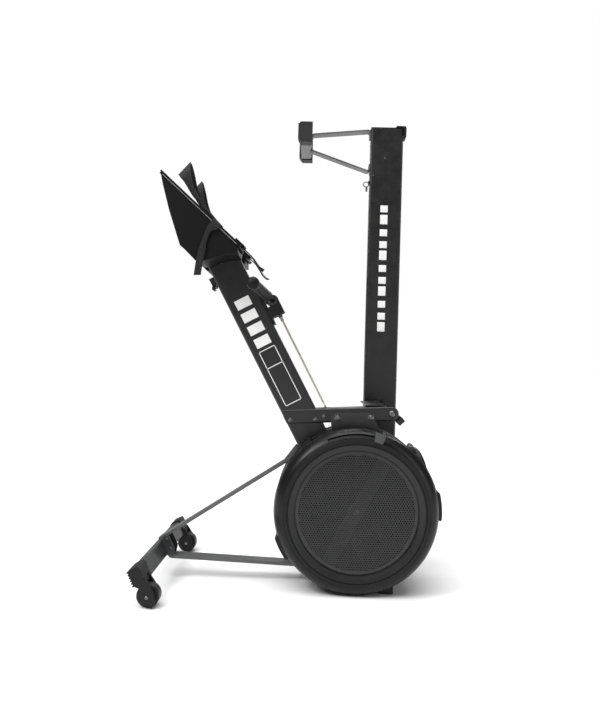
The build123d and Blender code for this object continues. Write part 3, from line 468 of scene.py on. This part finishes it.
def webbing(bm, knots, thick=2.2):
    """Flat strap through (centre, half width) vectors, with UV in millimetres."""
    line = flow(knots)
    rows, marks, run = [], [], 0.0
    before = Vector((0, 0, 1))
    for i, (mid, half) in enumerate(line):
        ahead = line[min(i + 1, len(line) - 1)][0] - line[max(i - 1, 0)][0]
        face = ahead.cross(half).normalized() * thick / 2 * MM
        if i and face.dot(before) < 0:
            face = -face
        before = face
        run += (mid - line[i - 1][0]).length / MM if i else 0.0
        wide = half.length / MM
        rows.append([mid + half * w + face * n / CROWN for w, n in STRAP_SECTION])
        marks.append([(run, w * wide) for w, _ in STRAP_SECTION])
    skin(bm, rows, marks=marks)


# ---- fan drum ----

DEPTH = {-1: (AXLE.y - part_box("drum_shell_right")[0][1]) / MM,
         1: (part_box("drum_shell_left")[1][1] - AXLE.y) / MM}
WORD = {-1: "right", 1: "left"}
DISH_W, DISH_D = 27.0, 38.0
DISH_R = (DISH_W ** 2 + DISH_D ** 2) / (2 * DISH_W)
BAND_HALF = 30.0
GRILLE_R, HOLE_PITCH, HOLE_R = 180.0, 7.4, 2.45
SHEET_DEEP, SHEET_T, DOME, BORDER = 15, 1.2, 3.5, 6
LEVER_ANGLE, SLIDER_REACH = 75.0, 40


def dish(side, radius, lift):
    """Y of the drum side's rounded edge at a radius, raised by lift."""
    reach = DISH_R + lift
    return side * (DEPTH[side] - DISH_D + sqrt(max(reach ** 2 - (radius - RIM + DISH_R) ** 2, 0.0)))


def grille_sheet(side):
    """Perforated steel disc, closed and slightly domed, with a plain border ring."""
    bm = bmesh.new()
    spots = {}

    def vert(x, z, inward):
        key = (round(x, 2), round(z, 2), inward)
        if key not in spots:
            dome = DOME * (1 - (x * x + z * z) / GRILLE_R ** 2)
            spots[key] = bm.verts.new(place(x, side * (DEPTH[side] - SHEET_DEEP + dome - inward), DRUM_Z + z))
        return spots[key]

    points = 12
    row = HOLE_PITCH * sin(radians(60))
    count = int(GRILLE_R / row) + 1
    for j in range(-count, count + 1):
        for i in range(-count - 3, count + 3):
            x, z = HOLE_PITCH * (i + (j % 2) / 2), row * j
            if hypot(x, z) > GRILLE_R - BORDER:
                continue
            web, lip, foot, back = [], [], [], []
            for k in range(points):
                a = tau * k / points
                far = HOLE_PITCH / 2 if k % 2 == 0 else HOLE_PITCH / sqrt(3)
                web.append(vert(x + far * cos(a), z + far * sin(a), 0.0))
                lip.append(vert(x + HOLE_R * cos(a), z + HOLE_R * sin(a), 0.0))
                foot.append(vert(x + HOLE_R * cos(a), z + HOLE_R * sin(a), SHEET_T))
                back.append(vert(x + far * cos(a), z + far * sin(a), SHEET_T))
            for k in range(points):
                n = (k + 1) % points
                bm.faces.new((web[k], web[n], lip[n], lip[k]))
                bm.faces.new((lip[k], lip[n], foot[n], foot[k]))
                bm.faces.new((foot[k], foot[n], back[n], back[k]))
    y = side * (DEPTH[side] - 14.6)
    inner, outer, back_y = GRILLE_R - 8, GRILLE_R + 2, y - side * 2
    drum_ring(bm, [(inner, y), (outer, y), (outer, back_y), (inner, back_y)])
    sheet = piece(f"grille_sheet_{WORD[side]}", bm, "grille_black", "front_frame", 25)
    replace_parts(sheet, f"grille_{WORD[side]}")


def drum_rings():
    """Beads along the seams of the drum's sides and band, and two rings on each face."""
    bm = bmesh.new()
    for y in (-BAND_HALF, BAND_HALF, DISH_D - DEPTH[-1], DEPTH[1] - DISH_D):
        arc = [(RIM - 0.4 + 1.6 * cos(radians(a)), y + 1.9 * sin(radians(a))) for a in range(-90, 91, 30)]
        drum_ring(bm, arc + [(RIM - 1.5, y + 1.9), (RIM - 1.5, y - 1.9)])
    for side in (-1, 1):
        face = side * DEPTH[side]
        for radius in (RIM - DISH_W - 1, GRILLE_R + 4.5):
            drop = 0.0 if radius > 200 else -7.5 * side
            arc = [(radius + 1.7 * cos(radians(a)), face + drop + side * 1.1 * sin(radians(a)))
                   for a in range(0, 181, 30)]
            drum_ring(bm, arc)
    piece("drum_beads", bm, "drum_black", "front_frame", 60)


def face_ring(side):
    """Moulded ring between the groove and the grille, coloured lighter than the drum's black as painted
    light.
    """
    bm = bmesh.new()
    h = DEPTH[side]
    top = [(201.6, h + 0.1), (198.0, h - 0.5), (190.0, h - 4.5), (183.0, h - 7.9)]
    outline = top + [(r, y - 0.9) for r, y in reversed(top)]
    drum_ring(bm, [(r, side * y) for r, y in outline])
    piece(f"face_ring_{WORD[side]}", bm, "drum_black", "front_frame", 30, FACE_RING_PAINTED_LIGHT)


def slot_slider():
    """Strip behind the arc slot that goes round with the resistance lever."""
    bm = bmesh.new()
    radii = (220.0, 226.0, 231.0, 235.5)
    outline = [(r, dish(-1, r, -4.8)) for r in radii] + [(r, dish(-1, r, -6.0)) for r in reversed(radii)]
    drum_ring(bm, outline, LEVER_ANGLE - SLIDER_REACH, LEVER_ANGLE + SLIDER_REACH)
    piece("slot_slider", bm, "cap_black", "resistance_lever")


for drum_side in (-1, 1):
    grille_sheet(drum_side)
    face_ring(drum_side)
drum_rings()
slot_slider()


# ---- printed marks: plain blocks and lines ----

PRINT_T = 0.35
BAR_FIRST, BAR_STEP, BAR_LONG = 333, 45, 31
DASH_FIRST, DASH_STEP = 806, 42


def on_beam(up, y, out):
    """A point up the beam's middle line, in the order of axes that brick uses."""
    return up_line(BEAM_LOW, BEAM_TILT, up, out, y)


def beam_marks():
    """Solid bars and an open frame along the beam, on both sides."""
    bm = bmesh.new()
    for side in (-1, 1):
        skin_y = sorted((side * BEAM_W / 2, side * (BEAM_W / 2 + PRINT_T)))
        for k in range(4):
            start = BAR_FIRST + BAR_STEP * k
            brick(bm, on_beam, (start, start + BAR_LONG), skin_y, (-28, 22), 0.1)
        for span, out in (((132, 322), (-30, -27.5)), ((132, 322), (23.5, 26)), ((132, 134.5), (-30, 26)),
                          ((319.5, 322), (-30, 26)), ((262, 264.5), (-30, 26))):
            brick(bm, on_beam, span, skin_y, out, 0.1)
    piece("beam_marks", bm, "lever_grey", "front_frame", material=PRINT)


def rail_marks():
    """A dashed line up the rail's side."""
    bm = bmesh.new()
    x0 = (centre("seat_rail").x - AXLE.x) / MM
    for k in range(11):
        z = DASH_FIRST + DASH_STEP * k
        dash = 24 if k % 3 else 33
        brick(bm, place, (x0 - 17, x0 + 9), (219.65, 220.0), (z, z + dash), 0.1)
    piece("rail_marks", bm, "lever_grey", "rail", material=PRINT)


beam_marks()
rail_marks()


# ---- chain ----

PITCH = 9.525
ROLLER_R, ROLLER_W = 3.1, 4.8
PIN_R, PIN_TIP_R, PIN_LONG = 1.7, 1.3, 10.8


def on_chain(up, out, y):
    """A point up the chain from the idler, and out from its middle line."""
    return up_line(IDLER, CHAIN_TILT, up, IDLER_R + out, y)


def link(bm, up, y, thick):
    """One oval link plate between the joints at up and up + PITCH."""
    outline = []
    for k in range(24):
        a = tau * k / 24
        waist = 3.9 - 0.7 * abs(sin(a)) ** 4
        outline.append((up + PITCH / 2 + (PITCH / 2 * (1 if cos(a) > 0 else -1)) * min(1, abs(cos(a)) * 4)
                        + 3.9 * cos(a), waist * sin(a)))
    rows = [[on_chain(u, o, y + d) for u, o in outline] for d in (-thick / 2, thick / 2)]
    skin(bm, rows)


def chain():
    """Rollers and inner links stay on the chain's body. Pins and outer links go with the handle."""
    inner, outer = bmesh.new(), bmesh.new()
    y_dir = Vector((0, 1, 0))
    joints = int((CHAIN_END - 10 - CHAIN_START) / PITCH)
    for k in range(joints + 1):
        up = CHAIN_START + 4 + k * PITCH
        lathe(inner, on_chain(up, 0, -ROLLER_W / 2), y_dir,
              [(0, 0), (0, ROLLER_R), (ROLLER_W, ROLLER_R), (ROLLER_W, 0)], 14)
        if k % 2 == 0 and k < joints:
            for y in (-2.9, 2.9):
                link(inner, up, y, 1.0)
        if up > CHAIN_START + 28:
            lathe(outer, on_chain(up, 0, -PIN_LONG / 2), y_dir,
                  [(0, 0), (0, PIN_TIP_R), (0.5, PIN_R), (10.3, PIN_R), (PIN_LONG, PIN_TIP_R),
                   (PIN_LONG, 0)], 10)
            if k % 2 == 1:
                for y in (-4.1, 4.1):
                    link(outer, up, y, 1.0)
    brick(outer, lambda u, y, o: on_chain(u, o, y), (CHAIN_END - 12, CHAIN_END), (-5, 5), (-4, 4), 1.0)
    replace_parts(piece("chain_inner_links", inner, "chain_brass", "chain"), "chain_core")
    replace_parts(piece("chain_outer_links", outer, "chain_brass", "handle"), "chain_plates")


chain()


# ---- handle ----

def grips():
    """Soft grips with a flared rounded end."""
    bm = bmesh.new()
    middle = up_line(IDLER, CHAIN_TILT, HANDLE_AT, IDLER_R, 0)
    for side in (-1, 1):
        axis = Vector((-0.1972, side * 0.9719, 0.1289))
        outline = [(62, 9), (62, 14), (64, 16.2), (68, 16.8), (72, 15.6)]
        outline += [(74 + 6 * k + d, 15.4 + lift)
                    for k in range(21) for d, lift in ((0, 0), (2, 0.55), (4, 0.55))]
        outline += [(204, 15.6), (210, 17.4), (218, 18.6), (225, 18.2), (230, 15.0), (232.5, 9.0), (233, 0.0)]
        lathe(bm, middle, axis, outline, 36)
    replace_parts(piece("grips", bm, "grip_black", "handle", 50), "handle_grips")


grips()


# ---- footrest straps and buckles ----

def plate_vector(s, y, n):
    """A direction in the footrest's axes, in millimetres."""
    return on_plate(s, y, n) - on_plate(0, 0, 0)


def on_foot(side):
    """The function on_plate for one of the two footrests."""
    return lambda s, y, n: on_plate(s, side * y, n)


def strap_line(side, knots):
    """Centres and half widths in a footrest's axes, for webbing."""
    return [(on_plate(s, side * y, n), plate_vector(a, side * b, c)) for (s, y, n), (a, b, c) in knots]


def straps(side):
    """Slack loop over the foot, the turn over the plate's edge and the hanging tail."""
    bm = bmesh.new()
    loop = [((229, 160, 7), (16, 0, 0)), ((206, 157, 8), (16, 0, 1.5)), ((165, 154, 12), (11, 0, 4)),
            ((120, 151, 19), (5, 2, 6)), ((82, 146, 34), (2, 4, 11)), ((52, 136, 49), (1, 3, 19)),
            ((32, 114, 58), (0, 0, 26)), ((27, 101, 59), (0, 0, 26)), ((32, 88, 58), (0, 0, 26)),
            ((52, 66, 49), (1, -3, 19)), ((82, 56, 34), (2, -4, 11)), ((120, 52, 19), (5, -2, 6)),
            ((165, 49, 12), (11, 0, 4)), ((206, 46, 8), (16, 0, 1.5)), ((240, 44, 3), (16, 0, 0))]
    webbing(bm, strap_line(side, loop))
    wrap = [((229, 140, 7), (16, 0, 0)), ((229, 158, 7.2), (16, 0, 0)), ((229, 166, 5), (16, 0, 0)),
            ((229, 168, -4), (15, 0, 0)), ((228, 168, -14), (13, 0, 0)), ((226, 168, -28), (8, 0, 0))]
    knots = strap_line(side, wrap)
    tail = [((-469.0, 1040.0), (6.0, -5.0)), ((-475.5, 1012.0), (9.5, -3.5)), ((-483.0, 974.0), (10.5, -0.5)),
            ((-488.0, 935.0), (10.5, 0.5))]
    for (x, z), (a, b) in tail:
        knots.append((place(x, side * 168, z), Vector((a, 0, b)) * MM))
    webbing(bm, knots)
    curl = [((318, 92, 5), (0, 12, 0)), ((345, 92, 6), (0, 12, 0)), ((372, 94, 2), (0, 12, 2)),
            ((398, 97, -4), (0, 12, 3)), ((416, 99, -2), (1, 11, 4))]
    webbing(bm, strap_line(side, curl))
    strap = piece(f"webbing_{WORD[side]}", bm, "strap_black", "front_frame", 50)
    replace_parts(strap, f"toe_strap_{WORD[side]}")


def buckles():
    """Cam buckles: a base with two cheeks, and a ridged cam lever."""
    bm = bmesh.new()
    for side in (-1, 1):
        at = on_foot(side)
        brick(bm, at, (284, 324), (70, 114), (0.4, 4.4), 1.2)
        for y in ((70, 74), (110, 114)):
            brick(bm, at, (290, 318), y, (4.0, 13.0), 1.5)
        brick(bm, at, (292, 326), (75, 109), (8.0, 12.0), 1.4)
        for k in range(4):
            brick(bm, at, (296 + 7 * k, 299 + 7 * k), (77, 107), (11.6, 13.2), 0.5)
        lathe(bm, at(302, 70, 9), Vector((0, side, 0)), [(0, 0), (0, 2.2), (44, 2.2), (44, 0)], 12)
    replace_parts(piece("cam_buckles", bm, "cap_black", "front_frame"), "strap_buckles")


for foot_side in (-1, 1):
    straps(foot_side)
buckles()


# ---- seat ----

def baked(obj):
    """Replace the mesh by the one its modifiers make."""
    graph = bpy.context.evaluated_depsgraph_get()
    mesh = bpy.data.meshes.new_from_object(obj.evaluated_get(graph))
    obj.modifiers.clear()
    obj.data = mesh


VOXEL, SWELL_MOST = 5 * MM, 5 * MM
SWELL_STEPS = 20


def seat_cushion():
    """Foam saddle, swollen slightly by a pressure simulation."""
    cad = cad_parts["seat_pad"]
    mesh = cad.data.copy()
    mesh.transform(cad.matrix_world)
    mesh.materials.clear()
    mesh.materials.append(MATERIALS["seat_black"])
    pad = bpy.data.objects.new("seat_cushion", mesh)
    scene = bpy.context.scene
    scene.collection.objects.link(pad)
    even = pad.modifiers.new("even", "REMESH")
    even.mode, even.voxel_size = "VOXEL", VOXEL
    calm = pad.modifiers.new("calm", "SMOOTH")
    calm.factor, calm.iterations = 0.5, 8
    baked(pad)
    rest = [vert.co.copy() for vert in pad.data.vertices]
    swell = pad.modifiers.new("swell", "CLOTH")
    swell.settings.use_pressure = True
    swell.settings.uniform_pressure_force = 4.0
    swell.settings.effector_weights.gravity = 0.0
    for step in range(1, SWELL_STEPS + 1):
        scene.frame_set(step)
    baked(pad)
    scene.frame_set(1)
    for vert, start in zip(pad.data.vertices, rest):
        move = vert.co - start
        vert.co = start + move * min(1.0, SWELL_MOST / max(move.length, 1e-9))
    pad.modifiers.new("finer", "SUBSURF").levels = 1
    baked(pad)
    pad.data.shade_smooth()
    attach(pad, "seat")
    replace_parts(pad, "seat_pad")


def seat_pan():
    """Moulded lip below the pad."""
    bm = bmesh.new()
    low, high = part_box("seat_pad")
    mid = (Vector(low) + Vector(high)) / 2
    half_y, half_z = (high[1] - low[1]) / 2 - 16 * MM, (high[2] - low[2]) / 2 - 16 * MM
    rows = []
    for k in range(96):
        a = tau * k / 96
        c, s = cos(a), sin(a)
        y, z = (abs(c) ** 0.45) * (1 if c > 0 else -1), (abs(s) ** 0.45) * (1 if s > 0 else -1)
        spoke = Vector((0, y * half_y, z * half_z))
        rows.append([Vector((low[0] + x * MM, mid.y, mid.z)) + spoke * f
                     for x, f in ((-1.5, 0.97), (-1.5, 0.90), (2.0, 0.90), (2.0, 0.99), (0.5, 1.0))])
    skin(bm, rows, ring=True)
    piece("seat_pan", bm, "cap_black", "seat", 60)


seat_cushion()
seat_pan()


# ---- fixings and welds ----

def washers():
    """A flat ring under each bolt head of the drum bracket, on both sides."""
    bm = bmesh.new()
    plates = ((-60.0, 519.0, 37.5, 9.5), (44.0, 522.5, 36.0, 9.5), (-207.8, 508.1, 33.0, 6.6),
              (-128.1, 511.8, 33.0, 6.6))
    for x, z, y, radius in plates:
        for side in (-1, 1):
            lathe(bm, place(x, side * y, z), Vector((0, side, 0)),
                  [(-0.2, radius - 3.4), (-0.2, radius), (0.9, radius), (1.2, radius - 0.4),
                   (1.2, radius - 3.4)], 28)
    piece("washers", bm, "bolt_steel", "front_frame")


def weld(bm, start, end, radius=2.6):
    """Run of small overlapping ripples between two points."""
    line = end - start
    long = line.length / MM
    count = max(8, int(long / 1.2))
    ripples = [(long * (k + 0.5) / count, radius * (0.86 + 0.14 * sin(k * 2.1))) for k in range(count)]
    lathe(bm, start, line.normalized(), [(0, 0.2)] + ripples + [(long, 0.2)], 10)


def welds():
    """Beads where the legs meet the front foot, the drum's frame, the rail and the rear foot."""
    front, rear = bmesh.new(), bmesh.new()
    for x, z in ((-603.0, 115.5), (-180.0, 424.5), (-165.0, 47.0)):
        weld(front, place(x, -22, z), place(x, 22, z))
    for side in (-1, 1):
        weld(front, place(-603.0, side * 25, 105.0), place(-585.0, side * 25, 68.0), 1.8)
    for x, z in ((-168.2, 1502.5), (-168.2, 1440.5), (40.2, 1520.5), (40.2, 1369.5)):
        weld(rear, place(x, RAIL_Y - 17, z), place(x, RAIL_Y + 17, z), 2.0)
    piece("front_welds", front, "leg_grey", "front_frame", 60)
    piece("rear_welds", rear, "leg_grey", "rail", 60)


washers()
welds()


# ---- footrest edges ----

def plate_trim():
    """Bright edge strip along each footrest."""
    bm = bmesh.new()
    for side in (-1, 1):
        brick(bm, on_foot(side), (12, PLATE_LENGTH - 12), (PLATE_OUT - 0.2, PLATE_OUT + 0.5),
              (-3.6, -1.4), 0.2)
    piece("plate_trim", bm, "track_steel", "front_frame")


plate_trim()


# ---- light and floor ----

def make_light(name, at, aim, wide, high, power):
    """Rectangular lamp; its place and size are in metres, its power in watts."""
    data = bpy.data.lights.new(name, "AREA")
    data.shape, data.size, data.size_y, data.energy = "RECTANGLE", wide, high, power
    lamp = bpy.data.objects.new(name, data)
    lamp.location = at
    lamp.rotation_mode = "QUATERNION"
    lamp.rotation_quaternion = (Vector(aim) - Vector(at)).to_track_quat("-Z", "Y")
    bpy.context.scene.collection.objects.link(lamp)


def make_studio():
    """White surroundings to the camera but dim to the object, soft lamps and a white floor."""
    sky = bpy.data.worlds.new("studio")
    sky.use_nodes = True
    nodes, links = sky.node_tree.nodes, sky.node_tree.links
    nodes.clear()
    back, fill, blend, out = (nodes.new("ShaderNode" + kind) for kind in
                              ("Background", "Background", "MixShader", "OutputWorld"))
    back.inputs["Color"].default_value = (1, 1, 1, 1)
    back.inputs["Strength"].default_value = 1.0
    fill.inputs["Color"].default_value = (1, 1, 1, 1)
    fill.inputs["Strength"].default_value = 0.12
    links.new(nodes.new("ShaderNodeLightPath").outputs["Is Camera Ray"], blend.inputs[0])
    links.new(fill.outputs[0], blend.inputs[1])
    links.new(back.outputs[0], blend.inputs[2])
    links.new(blend.outputs[0], out.inputs[0])
    bpy.context.scene.world = sky

    sun = bpy.data.lights.new("overhead", "SUN")
    sun.energy, sun.angle = 3.3, radians(70)
    lamp = bpy.data.objects.new("overhead", sun)
    lamp.rotation_euler = (radians(6), radians(-8), 0)
    bpy.context.scene.collection.objects.link(lamp)
    make_light("key", (-2.4, -1.8, 3.0), (0, 0, 0.5), 1.4, 1.4, 70)
    make_light("side", (2.6, -1.6, 1.5), (0, 0, 0.7), 0.6, 2.2, 16)
    make_light("rear", (0.8, 2.8, 2.2), (0, 0, 0.8), 2.2, 1.6, 30)

    half = 30.0  # metres
    corners = [(-half, -half, 0), (half, -half, 0), (half, half, 0), (-half, half, 0)]
    mesh = bpy.data.meshes.new("floor")
    mesh.from_pydata(corners, [], [(0, 1, 2, 3)])
    net = Net("floor")
    net.set(Roughness=0.9, Specular_IOR_Level=0.1)
    tone = net.colours(net.noise(net.place(), 3.0), (0.3, (0.95, 0.95, 0.95)), (0.7, (0.97, 0.97, 0.97)))
    net.link(tone, net.shader.inputs["Base Color"])
    mesh.materials.append(net.mat)
    floor = bpy.data.objects.new("floor", mesh)
    bpy.context.scene.collection.objects.link(floor)
    bpy.context.scene.view_settings.view_transform = "Standard"


make_studio()
